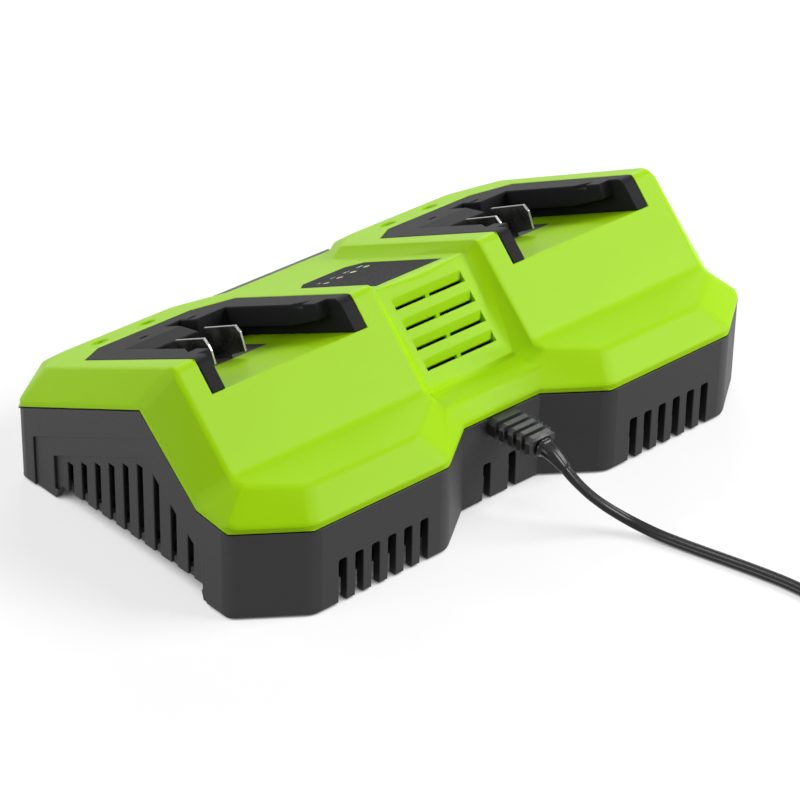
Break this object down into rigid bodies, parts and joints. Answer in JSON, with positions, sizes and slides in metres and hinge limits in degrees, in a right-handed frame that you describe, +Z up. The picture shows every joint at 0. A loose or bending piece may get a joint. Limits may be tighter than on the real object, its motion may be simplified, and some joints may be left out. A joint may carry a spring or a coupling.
{
  "type": "battery charger",
  "caption": "Battery charger with sloping bays for sliding power tool packs, black slotted base, green faceted cover, raised vent section, indicator label and mains cord.",
  "frame": {"origin": "on the table under the middle of the housing; the cord and its strain relief are not counted", "axes": "+X along the long side, to the right for a viewer who faces the front, +Y to the back, +Z up"},
  "size_m": [0.3075, 0.3986, 0.0891],
  "materials": {
    "base_black": "fine moulded texture",
    "cover_green": "fine moulded texture",
    "frame_black": "fine moulded texture",
    "carrier_black": "smooth moulded",
    "contact_metal": "tinned contact metal",
    "label_film": "satin printed film",
    "lens_clear": "clear moulded",
    "board_green": "solder resist",
    "ferrite": "fired ferrite",
    "winding_tape": "polyester tape",
    "capacitor_sleeve": "shrink sleeve",
    "heat_sink_metal": "extruded",
    "package_black": "moulded epoxy",
    "copper_wire": "enamelled copper",
    "fuse_glass": "glass tube with metal caps",
    "terminal_green": "moulded",
    "fan_black": "moulded",
    "lead_blue": "soft insulation",
    "lead_red": "soft insulation",
    "foot_rubber": "soft rubber",
    "screw_steel": "zinc plated",
    "plate_film": "bare film",
    "cord_black": "soft flexible sheath",
    "tie_black": "woven strap",
    "pin_metal": "nickel plated"
  },
  "bodies": {
    "housing": {"base_housing": "base_black", "top_cover": "cover_green", "rail_frame_left": "frame_black", "rail_frame_right": "frame_black", "contact_carrier_left": "carrier_black", "contact_carrier_right": "carrier_black", "contact_blades_left": "contact_metal", "contact_blades_right": "contact_metal", "indicator_label": "label_film", "status_lenses": "lens_clear", "led_board": "board_green", "power_board": "board_green", "transformer_core": "ferrite", "transformer_winding": "winding_tape", "bulk_capacitor": "capacitor_sleeve", "output_capacitors": "capacitor_sleeve", "heat_sink": "heat_sink_metal", "power_transistors": "package_black", "mains_choke": "copper_wire", "mains_fuse": "fuse_glass", "mains_terminal": "terminal_green", "fan_frame": "fan_black", "mains_leads": "lead_blue", "output_leads": "lead_red", "rubber_feet": "foot_rubber", "case_screws": "screw_steel", "board_screws": "screw_steel", "frame_screws": "screw_steel", "rating_plate": "plate_film", "strain_relief": "cord_black", "mains_cord": "cord_black", "cord_coil": "cord_black", "cord_tie": "tie_black", "plug_body": "cord_black", "plug_pins": "pin_metal"},
    "fan": {"fan_rotor": "fan_black"}
  },
  "joints": [
    {"name": "fan_spin", "type": "hinge", "parent": "housing", "child": "fan", "pos_m": [0, -0.0327, 0.0315], "axis": [0, 1, 0], "continuous": true}
  ]
}
